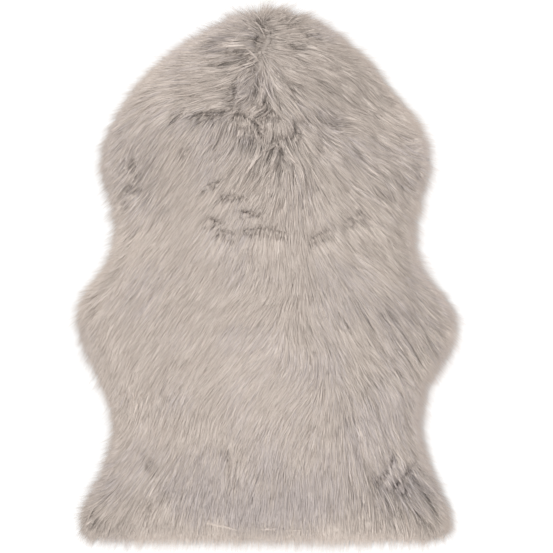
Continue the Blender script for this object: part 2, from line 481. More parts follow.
class RugColours(bpy.types.PropertyGroup):
    """The colours of the hair and the hide."""

    pale: colour_property("Pale hair", "Colour of the palest hair, towards its tip", (0.725, 0.637, 0.573))
    deep: colour_property("Deep hair", "Colour of the darkest hair, towards its tip", (0.38, 0.325, 0.287))
    cool: colour_property(
        "Cool hair", "What the warm colours are multiplied by in the cool hair", (0.93, 0.943, 1.0)
    )
    root_shade: FloatProperty(
        name="Root shade", description="How bright the hair is at its root", default=0.45, min=0, max=1
    )
    hide: colour_property("Hide", "Colour of the suede underside", (0.47, 0.40, 0.34))


class RugSettings(bpy.types.PropertyGroup):
    """All that a user of the rug would change."""

    sizes: PointerProperty(type=RugSizes)
    colours: PointerProperty(type=RugColours)


# ---------------------------------------------------------------- the plan


def rim_line():
    """The rim as a closed line: a cubic through the outline's points.

    Each span runs from a to b as (2t^3 - 3t^2 + 1) a + (t^3 - 2t^2 + t) a' + (3t^2 - 2t^3) b
    + (t^3 - t^2) b', where a' and b' are the span's length times the slope between the neighbours of a and b.
    """
    left = [(row[2], row[1]) for row in OUTLINE]
    right = [(row[3], row[1]) for row in OUTLINE]
    points = np.array([*TAIL_POINTS[1:], *right, CROWN_POINT, *reversed(left), TAIL_POINTS[0]])
    after = np.linalg.norm(np.roll(points, -1, axis=0) - points, axis=1)[:, None]
    before = np.roll(after, 1, axis=0)
    slope = (np.roll(points, -1, axis=0) - np.roll(points, 1, axis=0)) / (before + after)
    t = (np.arange(SPLINE_STEPS) / SPLINE_STEPS)[None, :, None]
    start, end = points[:, None], np.roll(points, -1, axis=0)[:, None]
    leaves, arrives = (slope * after)[:, None], (np.roll(slope, -1, axis=0) * after)[:, None]
    line = (
        (2 * t**3 - 3 * t**2 + 1) * start
        + (t**3 - 2 * t**2 + t) * leaves
        + (3 * t**2 - 2 * t**3) * end
        + (t**3 - t**2) * arrives
    )
    return line.reshape(-1, 2)


def depth_inside(line, x, y):
    """How far each place lies inside the closed line, negative outside.

    The size is the least distance to the line's stretches. The sign is that of an odd number of stretches
    crossed on the way out to the right.
    """
    away = np.full(len(x), np.inf)
    odd = np.zeros(len(x), bool)
    for (ax, ay), (bx, by) in zip(line, np.roll(line, -1, axis=0)):
        dx, dy = bx - ax, by - ay
        share = np.clip(((x - ax) * dx + (y - ay) * dy) / (dx * dx + dy * dy), 0, 1)
        away = np.minimum(away, np.hypot(x - ax - share * dx, y - ay - share * dy))
        if ay != by:
            odd ^= ((ay > y) != (by > y)) & (x < ax + (y - ay) * dx / dy)
    return np.where(odd, away, -away)


def value_noise(x, y, size, seed):
    """Random heights from -1 to 1 on a lattice of this size, blended by 3t^2 - 2t^3 between its points."""
    cells = 97
    lattice = np.random.default_rng(seed).uniform(-1, 1, (cells, cells))
    column, row = x / size + 1000, y / size + 1000
    i, j = np.floor(column).astype(int), np.floor(row).astype(int)
    u, v = column - i, row - j
    u, v = u * u * (3 - 2 * u), v * v * (3 - 2 * v)
    low = (1 - u) * lattice[i % cells, j % cells] + u * lattice[(i + 1) % cells, j % cells]
    high = (1 - u) * lattice[i % cells, (j + 1) % cells] + u * lattice[(i + 1) % cells, (j + 1) % cells]
    return (1 - v) * low + v * high


def combed_lie(x, y):
    """The way the pile is combed: the LIE table as level unit vectors, blended between rows and columns.

    An angle a from tailwards is the vector (sin a, -cos a). At the parting line the lie changes at once from
    the column on its left to the one on its right, but for the very top of the head, where it turns over
    between them. To the table's vector are added those of COMB, weighted by COMB_WEIGHT *
    exp(-(distance / radius)^2), and the sum is brought back to unit length.
    """
    table = np.array(LIE, float)
    stations, angles = table[:, 0], np.radians(table[:, 1:])
    rows = np.array([row[1:] for row in OUTLINE], float)
    parting = np.interp(y, *np.array(PARTING_LINE).T)
    half_left = parting - np.interp(y, rows[:, 0], rows[:, 1])
    half_right = np.interp(y, rows[:, 0], rows[:, 2]) - parting
    off = x - parting
    least = 0.05 * np.clip((0.434 - y) / 0.014, 0, 1)
    share = np.where(off < 0, np.clip(off / half_left, -1, -least), np.clip(off / half_right, least, 1))
    at = np.interp(y, stations, np.arange(len(stations)))
    low = np.minimum(at.astype(int), len(stations) - 2)
    part, column = at - low, np.arange(len(low))
    blended = []
    for side in (np.sin(angles), -np.cos(angles)):
        across = np.array([np.interp(share, LIE_SHARES, row) for row in side])
        blended.append((1 - part) * across[low, column] + part * across[low + 1, column])
    _, cx, cy, radius, angle = (np.array(column) for column in zip(*COMB))
    weight = COMB_WEIGHT * np.exp(-(((x[:, None] - cx) ** 2 + (y[:, None] - cy) ** 2) / radius**2))
    blended[0] = blended[0] + weight @ np.sin(np.radians(angle))
    blended[1] = blended[1] - weight @ np.cos(np.radians(angle))
    size = np.hypot(*blended) + 1e-6
    return blended[0] / size, blended[1] / size


def parting_lines():
    """The partings as arrays: middle x and y, heading, length, width, depth, share that stops, dark.

    The length is PARTING_STRETCH times the way between the two ends.
    """
    rows = np.array([row[1:] for row in PARTINGS], float)
    run = PARTING_STRETCH * (rows[:, 2:4] - rows[:, :2])
    middle = (rows[:, 2:4] + rows[:, :2]) / 2
    return *middle.T, np.arctan2(run[:, 1], run[:, 0]), np.hypot(*run.T), *rows[:, 4:].T


class Plan:
    """Fields over the rug's plan, worked out on a grid and read between its points.

    inside: distance inside the rim. out_x, out_y: the way out to the rim, minus the slope of inside.
    ruffle, shade, cool: how ruffled the fleece is, and how much paler and cooler than elsewhere.
    lie_x, lie_y: the way the pile is combed. split: how sharply it is combed apart there, from 0 to 1.
    gap: depth of the partings. dark: how dark the roots are. bare: where roots would show below a parting.
    tuft, groove_0, groove_1, groove_2: noise smeared along the lie. top: height of the combed fleece.
    """

    def __init__(self, sizes):
        low = np.array(PELT_LOW[:2]) - PLAN_MARGIN
        high = np.array(PELT_HIGH[:2]) + PLAN_MARGIN
        self.low = low
        self.shape = tuple(np.ceil((high - low) / PLAN_STEP).astype(int) + 1)
        column, row = np.meshgrid(np.arange(self.shape[0]), np.arange(self.shape[1]), indexing="ij")
        x = (low[0] + column * PLAN_STEP).ravel()
        y = (low[1] + row * PLAN_STEP).ravel()
        self.fields = {}
        self.line = rim_line()
        self.keep("inside", depth_inside(self.line, x, y))
        slope_x, slope_y = np.gradient(self.fields["inside"], PLAN_STEP)
        steep = np.hypot(slope_x, slope_y) + 1e-6
        self.keep("out_x", -slope_x / steep)
        self.keep("out_y", -slope_y / steep)
        self.keep("ruffle", self.ruffling(x, y))
        shade, cool = self.shading(x, y)
        self.keep("shade", shade)
        self.keep("cool", cool)
        ruffle = self.read("ruffle", x, y)
        wander = np.zeros(len(x))
        for k, size in enumerate(WANDER_SIZES):
            wander += WANDER * value_noise(x, y, size, SEEDS["wander"] + k)
        turn = np.radians((0.2 + 0.8 * ruffle) * wander)
        lie_x, lie_y = combed_lie(x, y)
        self.keep("lie_x", lie_x * np.cos(turn) - lie_y * np.sin(turn))
        self.keep("lie_y", lie_x * np.sin(turn) + lie_y * np.cos(turn))
        reach = SPLIT_REACH
        spread = self.read("lie_x", x + reach, y) - self.read("lie_x", x - reach, y)
        spread = (spread + self.read("lie_y", x, y + reach) - self.read("lie_y", x, y - reach)) / (2 * reach)
        self.keep("split", np.clip((spread - SPLIT_RANGE[0]) / SPLIT_RANGE[1], 0, 1))
        gap, dark, bare, soft = self.parting_fields(x, y)
        self.keep("gap", gap)
        self.keep("bare", bare)
        ruffled = (0.10 + 0.80 * ruffle) * (1 - 0.65 * soft) * (1 - 0.6 * self.read("split", x, y))
        self.keep("dark", np.maximum(dark, ruffled))
        self.keep("tuft", self.smeared(x, y, *TUFTS, SEEDS["tuft"]))
        for k, (size, reach, *_) in enumerate(GROOVES):
            self.keep(f"groove_{k}", self.smeared(x, y, size, reach, SEEDS["groove"] + k))
        self.keep("top", self.fleece_top(x, y, sizes))

    def keep(self, name, values):
        """Stores a field's values on the grid."""
        self.fields[name] = np.asarray(values, float).reshape(self.shape)

    def read(self, name, x, y):
        """A field's values at these places, blended from the grid's four nearest points."""
        grid = self.fields[name]
        column = np.clip((x - self.low[0]) / PLAN_STEP, 0, self.shape[0] - 1.001)
        row = np.clip((y - self.low[1]) / PLAN_STEP, 0, self.shape[1] - 1.001)
        i, j = column.astype(int), row.astype(int)
        u, v = column - i, row - j
        low = (1 - u) * grid[i, j] + u * grid[i + 1, j]
        high = (1 - u) * grid[i, j + 1] + u * grid[i + 1, j + 1]
        return (1 - v) * low + v * high

    def ruffling(self, x, y):
        """How ruffled the fleece is: the greatest of strength * exp(-(distance / radius)^2) and SMOOTH."""
        _, cx, cy, radius, strength = (np.array(column) for column in zip(*RUFFLES))
        away = np.hypot(x[:, None] - cx, y[:, None] - cy)
        return np.maximum(SMOOTH, (strength * np.exp(-((away / radius) ** 2))).max(axis=1))

    def shading(self, x, y):
        """How much paler and cooler the hair is: the sums of change * exp(-(distance / radius)^2)."""
        _, cx, cy, radius, tone, cool = (np.array(column) for column in zip(*SHADES))
        near = np.exp(-(((x[:, None] - cx) ** 2 + (y[:, None] - cy) ** 2) / radius**2))
        return near @ tone, near @ cool

    def parting_fields(self, x, y):
        """At each place the deepest of the partings, how dark, how bare and how pale the roots are.

        All four fade towards the parting's ends. The depth is the parting's * exp(-(side / width)^2), and the
        width is a third as much upstream of the line, where the tips of the hair end, as downstream. The dark
        falls off as exp(-(side / 2.4 widths)^2). Bare is the share that stops * exp(-(side / 9 mm)^2)
        downstream. Pale is the share that stops * (1 - dark)^2 * exp(-(side / 12 mm)^2).
        """
        lie_x, lie_y = self.read("lie_x", x, y), self.read("lie_y", x, y)
        gap, near, bare, soft = (np.zeros(len(x)) for _ in range(4))
        for cx, cy, heading, length, width, deep, stops, dark in zip(*parting_lines()):
            cos, sin = np.cos(heading), np.sin(heading)
            run, side = (x - cx) * cos + (y - cy) * sin, (y - cy) * cos - (x - cx) * sin
            downstream = side * (lie_y * cos - lie_x * sin) > 0
            ends = faded(run, length)
            wide = np.where(downstream, width, width / 3)
            gap = np.maximum(gap, deep * ends * np.exp(-((side / wide) ** 2)))
            near = np.maximum(near, dark * ends * np.exp(-((side / (2.4 * width)) ** 2)))
            bare = np.maximum(bare, stops * ends * downstream * np.exp(-((side / 0.009) ** 2)))
            soft = np.maximum(soft, stops * (1 - dark) ** 2 * ends * np.exp(-((side / 0.012) ** 2)))
        return gap, near, bare, soft

    def grooves(self, x, y):
        """The long thin grooves between the locks: how deep, and how much darker the hair is in them.

        They lie where a noise smeared along the lie crosses zero: exp(-(noise / width)^2). They are fainter
        where the fleece is smooth.
        """
        strength = 0.15 + 0.85 * self.read("ruffle", x, y)
        depth, tone = np.zeros(x.shape), np.zeros(x.shape)
        for k, (_, _, width, deep, dark) in enumerate(GROOVES):
            line = strength * np.exp(-((self.read(f"groove_{k}", x, y) / width) ** 2))
            depth, tone = depth + deep * line, tone + dark * line
        return depth, tone

    def smeared(self, x, y, size, reach, seed):
        """Noise added up along the lie of the pile, this far each way, which turns bumps into tufts.

        The sum is divided by the square root of the number of places, so that it stays as strong.
        """
        steps = int(np.ceil(reach / (0.7 * size)))
        total = value_noise(x, y, size, seed)
        for way in (1, -1):
            px, py = x.copy(), y.copy()
            for _ in range(steps):
                dx, dy = self.read("lie_x", px, py), self.read("lie_y", px, py)
                px, py = px + way * dx * reach / steps, py + way * dy * reach / steps
                total = total + value_noise(px, py, size, seed)
        return total / (2 * steps + 1) ** 0.5

    def fleece_top(self, x, y, sizes):
        """Rim height + (pile height - rim height) * (1 - (1 - depth / shoulder)^2.2), plus swells and tufts
        and less the partings, all of which fade towards the rim. Past the rim all of it is multiplied by
        exp(-distance / RIM_FALL).
        """
        inside = self.read("inside", x, y)
        shoulder = np.clip(inside / sizes.shoulder_width, 0, 1)
        crown = sizes.rim_height + (sizes.pile_height - sizes.rim_height) * (1 - (1 - shoulder) ** 2.2)
        tufts = sizes.tuft_height * self.read("ruffle", x, y) * self.read("tuft", x, y)
        relief = SWELL[0] * value_noise(x, y, SWELL[1], SEEDS["swell"]) + tufts
        ramp = np.clip(inside / RIM_RAMP, 0, 1)
        fall = np.exp(np.minimum(inside, 0) / RIM_FALL)
        return (crown + ramp * (relief - self.read("gap", x, y))) * fall


# ---------------------------------------------------------------- the fleece


def lattice_roots(plan, spacing, margin, rng):
    """Places further inside the rim than the margin, on a lattice of rows set off by half a step.

    Each is moved a little from its place on the lattice.
    """
    low, high = plan.line.min(axis=0), plan.line.max(axis=0)
    rows = np.arange(low[1], high[1], spacing * 0.866)
    columns = np.arange(low[0], high[0], spacing)
    x = columns[None, :] + (np.arange(len(rows)) % 2)[:, None] * spacing / 2
    y = np.repeat(rows[:, None], len(columns), axis=1)
    x = x.ravel() + rng.normal(0, 0.28 * spacing, x.size)
    y = y.ravel() + rng.normal(0, 0.28 * spacing, y.size)
    keep = plan.read("inside", x, y) > margin
    return x[keep], y[keep]


def nearest(x, y, at_x, at_y, cell):
    """For each place the index of the nearest of the others, sought in its square cell and those round it."""
    low_x, low_y = min(x.min(), at_x.min()) - 2 * cell, min(y.min(), at_y.min()) - 2 * cell
    columns = int((max(x.max(), at_x.max()) - low_x) / cell) + 3
    rows = int((max(y.max(), at_y.max()) - low_y) / cell) + 3
    slots = 6
    table = np.full((columns * rows, slots), -1)
    home = ((at_x - low_x) / cell).astype(int) * rows + ((at_y - low_y) / cell).astype(int)
    order = np.argsort(home, kind="stable")
    first = np.searchsorted(home[order], home[order])
    place = np.arange(len(order)) - first
    fits = place < slots
    table[home[order][fits], place[fits]] = order[fits]
    column, row = ((x - low_x) / cell).astype(int), ((y - low_y) / cell).astype(int)
    around = [table[(column + i) * rows + row + j] for i in (-1, 0, 1) for j in (-1, 0, 1)]
    near = np.concatenate(around, axis=1)
    away = np.where(near < 0, np.inf, np.hypot(at_x[near] - x[:, None], at_y[near] - y[:, None]))
    return near[np.arange(len(x)), away.argmin(axis=1)]


def combed_paths(plan, x, y, turn, length):
    """Paths in plan that start at the roots and follow the lie, turned by an angle, and out at the rim.

    Each stretch runs length / steps along lie + share * way out, where the share grows to OUTWARD at the rim.
    """
    places = [(x, y)]
    cos, sin = np.cos(turn), np.sin(turn)
    for _ in range(STRAND_STEPS):
        px, py = places[-1]
        lie_x, lie_y = plan.read("lie_x", px, py), plan.read("lie_y", px, py)
        share = OUTWARD[0] * np.clip(1 - plan.read("inside", px, py) / OUTWARD[1], 0, 1)
        dx = lie_x + share * plan.read("out_x", px, py)
        dy = lie_y + share * plan.read("out_y", px, py)
        size = np.hypot(dx, dy) + 1e-9
        dx, dy = (dx * cos - dy * sin) / size, (dx * sin + dy * cos) / size
        places.append((px + dx * length / STRAND_STEPS, py + dy * length / STRAND_STEPS))
    return np.stack([np.stack(place, axis=-1) for place in places], axis=1)


def faded(run, length):
    """How much of a parting there is at this run from its middle: whole over 3/5 of it, then less to none."""
    return np.clip((1 - 2 * np.abs(run) / (length + PARTING_FADE)) / 0.4, 0, 1)


def stopped_at_partings(plan, x, y, turn, length, rng):
    """Shortens the strands that would cross a parting, so that their tips end at its line.

    Of the strands that cross a parting its share stops, made a little uneven by a fine noise, and each stops
    at about the place where it crosses.
    """
    paths = combed_paths(plan, x, y, turn, length)
    keep = np.ones(len(x))
    uneven = 0.90 + 0.15 * value_noise(x, y, 0.006, SEEDS["patch"] + 3)
    for cx, cy, heading, reach, _, _, stops, _ in zip(*parting_lines()):
        cos, sin = np.cos(heading), np.sin(heading)
        run = (paths[..., 0] - cx) * cos + (paths[..., 1] - cy) * sin
        near = np.flatnonzero(np.abs(run).min(axis=1) < reach / 2 + 0.03)
        side = (paths[near, :, 1] - cy) * cos - (paths[near, :, 0] - cx) * sin
        near = near[(side.min(axis=1) < 0) & (side.max(axis=1) > 0)]
        run = run[near]
        side = (paths[near, :, 1] - cy) * cos - (paths[near, :, 0] - cx) * sin
        chance = rng.random(len(near)) / (stops * uneven[near])
        jitter = rng.uniform(-0.01, 0.06, len(near))
        for k in range(STRAND_STEPS):
            step = side[:, k + 1] - side[:, k]
            share = -side[:, k] / np.where(np.abs(step) < 1e-9, 1e-9, step)
            at = run[:, k] + share * (run[:, k + 1] - run[:, k])
            crosses = (share > 0) & (share <= 1) & (chance < faded(at, reach))
            end = np.where(crosses, (k + share) / STRAND_STEPS + jitter, 1)
            keep[near] = np.minimum(keep[near], end)
    return length * np.clip(keep, 0.2, 1)


def trimmed_at_rim(plan, x, y, turn, length, reach):
    """Shortens the strands whose tips would lie further past the rim than their reach."""
    for _ in range(2):
        tip = combed_paths(plan, x, y, turn, length)[:, -1]
        past = np.maximum(-plan.read("inside", tip[:, 0], tip[:, 1]) - reach, 0)
        length = length * np.clip(1 - past / (0.8 * length), 0.25, 1)
    return length


def drawn_together(paths, guides, pull, power):
    """Moves each path towards its guide by pull * t^power, with t from 0 at the root to 1 at the tip."""
    t = (np.arange(STRAND_STEPS + 1) / STRAND_STEPS)[None, :, None]
    return paths + (guides - paths) * pull[:, None, None] * t**power


def bulge(paths, guides, width):
    """How far down a bundle's side each point lies: (distance from the guide / width)^2, up to 1."""
    return np.minimum(((paths - guides) ** 2).sum(axis=-1) / width**2, 1)


class Fleece:
    """Every strand of the fleece, in whole arrays: its path, width, roll, tone, paleness and coolness."""

    def __init__(self, plan, sizes):
        self.plan, self.sizes = plan, sizes
        self.margin = sizes.hide_inset + ROOT_MARGIN
        self.strands(self.clumps(self.locks()))

    def edge_share(self, x, y):
        """How near a root is to the outermost roots: 1 there, 0 from 30 mm further in."""
        return np.clip(1 - (self.plan.read("inside", x, y) - self.margin) / 0.030, 0, 1)

    def locks(self):
        """The largest tufts: a jittered lattice of guides, each with its own turn, length, lift and tone."""
        rng = np.random.default_rng(SEEDS["lock"])
        x, y = lattice_roots(self.plan, self.sizes.lock_spacing, self.margin - 0.006, rng)
        n = len(x)
        ruffle, edge = self.plan.read("ruffle", x, y), self.edge_share(x, y)
        turn = np.radians(rng.normal(0, 9, n) * (0.35 + 0.5 * ruffle))
        length = self.sizes.strand_length * np.clip(rng.normal(1, 0.13, n), 0.65, 1.4)
        length = stopped_at_partings(self.plan, x, y, turn, length, rng)
        length = trimmed_at_rim(self.plan, x, y, turn, length, np.zeros(n))
        return {
            "x": x,
            "y": y,
            "lift": rng.normal(0, 0.0020, n) * ruffle,
            "tone": rng.normal(0, 0.05, n) * ruffle,
            "pull": np.clip(rng.normal(0.45, 0.15, n) * (0.28 + 1.07 * ruffle) * (1 - edge**2), 0.0, 0.85),
            "turn": turn,
            "length": length,
        }

    def clumps(self, lock):
        """The strands' own clumps: finer guides whose tips are drawn towards their lock's tip.

        Where the fleece is ruffled they are fewer and larger: each has room times its usual area.
        """
        rng = np.random.default_rng(SEEDS["clump"])
        x, y = lattice_roots(self.plan, self.sizes.clump_spacing, self.margin, rng)
        room = 1 / (1 - 0.30 * self.plan.read("ruffle", x, y))
        keep = rng.random(len(x)) < 1 / room
        x, y, room = x[keep], y[keep], room[keep]
        n = len(x)
        of = nearest(x, y, lock["x"], lock["y"], self.sizes.lock_spacing)
        ruffle, edge = self.plan.read("ruffle", x, y), self.edge_share(x, y)
        split = self.plan.read("split", x, y)
        turn = lock["turn"][of] * (1 - 0.7 * edge)
        turn = turn + np.radians(rng.normal(0, 2 + 3 * ruffle + 4 * split, n))
        length = lock["length"][of] * np.clip(rng.normal(1, 0.12, n), 0.7, 1.3)
        length = stopped_at_partings(self.plan, x, y, turn, length, rng)
        length = trimmed_at_rim(self.plan, x, y, turn, length, np.zeros(n))
        guides = combed_paths(self.plan, lock["x"], lock["y"], lock["turn"], lock["length"])[of]
        own = combed_paths(self.plan, x, y, turn, length)
        short = np.clip(length / self.sizes.strand_length, 0, 1)
        sag = bulge(own, guides, self.sizes.lock_spacing) * (LOCK_BULGE * ruffle)[:, None]
        lift = lock["lift"][of] + rng.normal(0, 0.0002 + 0.0009 * ruffle, n)
        tone = lock["tone"][of] + rng.normal(0, 0.010 + 0.040 * ruffle, n)
        pull = rng.normal(0.24 + 0.58 * ruffle, 0.08 + 0.04 * ruffle, n) * (1 - 0.9 * edge**2)
        return {
            "x": x,
            "y": y,
            "turn": turn,
            "length": length,
            "path": drawn_together(own, guides, lock["pull"][of] * short, 1.6),
            "lift": lift,
            "sag": sag,
            "tone": tone,
            "pull": np.clip(pull, 0.0, 0.95),
            "edge": edge,
            "fill": np.maximum(0.8 * split, 0.9 * self.plan.read("bare", x, y)),
            "room": room,
        }

    def strands(self, clump):
        """The strands: roots scattered round their clump's, tips drawn towards the clump's tip.

        A clump holds more of them the more room it has, towards the rim, and where roots would show. Their
        tone is the hair's + their clump's + slow patches + their own + what each place along them adds.
        """
        rng = np.random.default_rng(SEEDS["strand"])
        sizes, plan = self.sizes, self.plan
        share = clump["room"] * (1 + 1.6 * clump["edge"] + 8 * clump["fill"])
        count = sizes.strands - sum(row[6] for row in WISPS)
        of = np.searchsorted(np.cumsum(share) / share.sum(), rng.random(count))
        of = np.minimum(np.sort(of), len(share) - 1)
        n = len(of)
        room = clump["room"][of] ** 0.5
        x = clump["x"][of] + rng.normal(0, 0.55 * sizes.clump_spacing, n) * room
        y = clump["y"][of] + rng.normal(0, 0.55 * sizes.clump_spacing, n) * room
        stray = rng.random(n) < STRAY_SHARE
        edge, ruffle = clump["edge"][of], plan.read("ruffle", x, y)
        turn = clump["turn"][of] + np.radians(rng.normal(0, 1.8 + 1.2 * ruffle + 9 * stray + 7 * edge, n))
        length = clump["length"][of] * np.clip(rng.normal(1, 0.10, n), 0.6, 1.4)
        longer = np.maximum(length, sizes.strand_length * rng.uniform(0.65, 1.35, n))
        length = np.where(edge > 0, longer, length)
        length = stopped_at_partings(plan, x, y, turn, length, rng)
        reach = RIM_REACH[0] + rng.exponential(RIM_REACH[1], n) + 0.0030 * np.clip((y - 0.30) / 0.08, 0, 1)
        length = trimmed_at_rim(plan, x, y, turn, length, np.minimum(reach, RIM_REACH[2]))
        pull = clump["pull"][of] * np.clip(length / sizes.strand_length, 0, 1)
        path = drawn_together(combed_paths(plan, x, y, turn, length), clump["path"][of], pull, 1.4)
        lift = clump["lift"][of] + rng.normal(0, 0.0007, n) + stray * rng.uniform(0, 0.003, n)
        own = bulge(path, clump["path"][of], sizes.clump_spacing * room[:, None])
        sag = clump["sag"][of] + own * (CLUMP_BULGE * ruffle**0.7)[:, None]
        root = ROOT_DEPTH * (1 - 0.8 * clump["fill"][of])[:, None]
        tone = TONE[0] + TONE[1] * ruffle + clump["tone"][of]
        for k, (change, size) in enumerate(PATCHES):
            tone += change * value_noise(x, y, size, SEEDS["patch"] + k)
        tone += rng.normal(0, 1, n) * (TONE_SPREAD[0] + TONE_SPREAD[1] * ruffle)
        tone = tone[:, None] + self.tone_of_place(path[..., 0], path[..., 1])
        path, height, tone = self.with_wisps(path, self.standing(path, lift, sag, root), tone, rng)
        n, x, y = len(path), path[:, 0, 0], path[:, 0, 1]
        self.path = np.concatenate([path, np.maximum(height, 0.0008)[..., None]], axis=-1)
        wide = np.array(TAPER) * sizes.strand_width
        thinned = self.thinning(path[:, :-1, 0], path[:, :-1, 1])
        self.width = np.clip(rng.normal(1, 0.18, n), 0.5, 1.5)[:, None] * wide * thinned
        self.roll = np.radians(rng.normal(0, ROLL, n))
        self.tone = np.clip(tone, 0.02, 0.98)
        self.pale = 0.6 * (1 - plan.read("dark", x, y))
        x, y = path[:, 2, 0], path[:, 2, 1]
        cool = 0.10 + 0.40 * value_noise(x, y, 0.05, SEEDS["patch"] + 2) + plan.read("cool", x, y)
        self.cool = rng.random(n) < cool
        self.root_y = path[:, 0, 1]

    def tone_of_place(self, x, y):
        """How much paler the hair is at a place: the rim's tone - the grooves' - the belt's + the shade's."""
        plan = self.plan
        out_x, out_y = plan.read("out_x", x, y), plan.read("out_y", x, y)
        inside = plan.read("inside", x, y)
        rim = np.clip(1 - inside / (0.013 + 0.007 * out_x.clip(0)), 0, 1)
        tone = rim * (RIM_TONE[0] + RIM_TONE[1] * out_x) - plan.grooves(x, y)[1]
        belt = np.clip(1 - np.abs(inside - RIM_BELT[0]) / RIM_BELT[1], 0, 1)
        tone = tone - belt * (BELT_TONE[0] + BELT_TONE[1] * out_x + BELT_TONE[2] * out_y.clip(0))
        return tone + plan.read("shade", x, y)

    def thinning(self, x, y):
        """How much of its width a strand has: RIM_THIN at the rim, and all of it from 12 to 18 mm inside."""
        inside, out_x = self.plan.read("inside", x, y), self.plan.read("out_x", x, y)
        least = RIM_THIN[0] - RIM_THIN[1] * np.abs(out_x)
        return least + (1 - least) * np.clip((inside + 0.0010 - 0.006 * out_x.clip(0)) / 0.013, 0, 1)

    def standing(self, path, lift, sag, root):
        """Heights along the strands: the fleece's top + (rise + lift t - sag t^0.5 - groove t) * ramp.

        The rise is -root + (root + TIP_RISE) * (1 - (1 - t)^3.6). The ramp is top / 15 mm, from 0.15 to 1.
        Roots lie no higher than 0.7 of the top.
        """
        t = np.arange(STRAND_STEPS + 1)[None, :] / STRAND_STEPS
        top = self.plan.read("top", path[..., 0], path[..., 1])
        rise = -root + (root + TIP_RISE) * (1 - (1 - t) ** 3.6)
        groove = self.plan.grooves(path[..., 0], path[..., 1])[0]
        height = top + (rise + lift[:, None] * t - sag * t**0.5 - groove * t) * np.clip(top / 0.015, 0.15, 1)
        height[:, 0] = np.minimum(height[:, 0], top[:, 0] * 0.7)
        return height

    def with_wisps(self, path, height, tone, rng):
        """Adds the wisps' strands: each runs from root to tip on a bow, a little to one side and another.

        The bow is 4 t (1 - t) across the way from root to tip. The strands spread by WISP_WIDTH at the root
        and by about half of it at the tip. They lie 2.5 mm + lift * (0.3 + 0.7 t) above the fleece, less
        6 mm * (1 - t)^3 towards the root.
        """
        rows = np.repeat(np.array([row[1:] for row in WISPS], float), [row[6] for row in WISPS], axis=0)
        n = len(rows)
        t = (np.arange(STRAND_STEPS + 1) / STRAND_STEPS)[None, :, None]
        start, end = rows[:, None, :2], rows[:, None, 2:4]
        run = end - start
        size = np.linalg.norm(run, axis=-1, keepdims=True)
        across = np.stack([-run[..., 1], run[..., 0]], axis=-1) / size
        early, late = rng.uniform(-0.30, 0.25, (n, 1, 1)), rng.uniform(-0.35, 0.15, (n, 1, 1))
        at = early + t * (1 + late - early)
        spread = rng.normal(0, WISP_WIDTH, (n, 1, 1)) * (1 - 0.5 * t)
        spread = spread + rng.normal(0, 0.3 * WISP_WIDTH, (n, 1, 1)) * t
        own = start + run * at + across * (rows[:, 4, None, None] * 4 * at * (1 - at) + spread)
        top = self.plan.read("top", own[..., 0], own[..., 1])
        lift = rows[:, 6] * rng.uniform(0.2, 1.0, n)
        raised = top + 0.0025 + lift[:, None] * (0.3 + 0.7 * t[..., 0]) - 0.006 * (1 - t[..., 0]) ** 3
        shade = np.repeat((rows[:, 7] + rng.normal(0, 0.16, n))[:, None], STRAND_STEPS + 1, axis=1)
        return np.concatenate([path, own]), np.concatenate([height, raised]), np.concatenate([tone, shade])

    def ribbon_mesh(self, name, chosen):
        """One mesh of the chosen strands.

        Each strand is a flat ribbon of quads that ends in a triangle. Its two edges lie at half its width
        on each side of its path, along the level way across it turned by its roll. The map OFBake holds its
        tone across, and up it the way from root to tip, once for the warm hair and once more for the cool
        hair. Where the roots are paler it starts further up.
        """
        path = self.path[chosen]
        n = len(path)
        tangent = np.gradient(path, axis=1)
        tangent /= np.linalg.norm(tangent, axis=-1, keepdims=True) + 1e-12
        level = np.stack([-tangent[..., 1], tangent[..., 0], np.zeros(tangent.shape[:2])], axis=-1)
        level /= np.linalg.norm(level, axis=-1, keepdims=True) + 1e-12
        above = np.cross(tangent, level)
        roll = self.roll[chosen][:, None, None]
        side = level * np.cos(roll) + above * np.sin(roll)
        half = self.width[chosen][..., None] / 2
        base = path[:, :STRAND_STEPS]
        across = side[:, :STRAND_STEPS] * half
        points = np.empty((n, 2 * STRAND_STEPS + 1, 3), np.float32)
        points[:, 0:-1:2] = base - across
        points[:, 1:-1:2] = base + across
        points[:, -1] = path[:, -1]
        quads = [(2 * k, 2 * k + 1, 2 * k + 3, 2 * k + 2) for k in range(STRAND_STEPS - 1)]
        last = 2 * STRAND_STEPS
        corners = np.array([corner for quad in quads for corner in quad] + [last - 2, last - 1, last])
        loops = (np.arange(n)[:, None] * (last + 1) + corners[None]).ravel()
        sizes = np.tile(np.array([4] * len(quads) + [3]), n)
        mesh = bpy.data.meshes.new(name)
        mesh.vertices.add(points.shape[0] * points.shape[1])
        mesh.vertices.foreach_set("co", points.ravel())
        mesh.loops.add(len(loops))
        mesh.loops.foreach_set("vertex_index", loops.astype(np.int32))
        mesh.polygons.add(len(sizes))
        starts = np.concatenate([[0], np.cumsum(sizes)[:-1]])
        mesh.polygons.foreach_set("loop_start", starts.astype(np.int32))
        mesh.polygons.foreach_set("loop_total", sizes.astype(np.int32))
        station = np.minimum(np.arange(last + 1) // 2, STRAND_STEPS)
        share = station / STRAND_STEPS
        edge = np.where(np.arange(last + 1) % 2 == 1, 0.006, -0.006)
        edge[-1] = 0
        uv = np.empty((n, len(corners), 2), np.float32)
        uv[..., 0] = np.clip(self.tone[chosen][:, station[corners]] + edge[corners][None], 0.001, 0.999)
        band = np.where(self.cool[chosen], 0.5, 0.0)[:, None]
        up = self.pale[chosen][:, None] + (1 - self.pale[chosen])[:, None] * share[corners][None]
        uv[..., 1] = band + 0.5 * (0.02 + 0.96 * up)
        layer = mesh.uv_layers.new(name="OFBake")
        layer.uv.foreach_set("vector", uv.ravel())
        mesh.update(calc_edges=True)
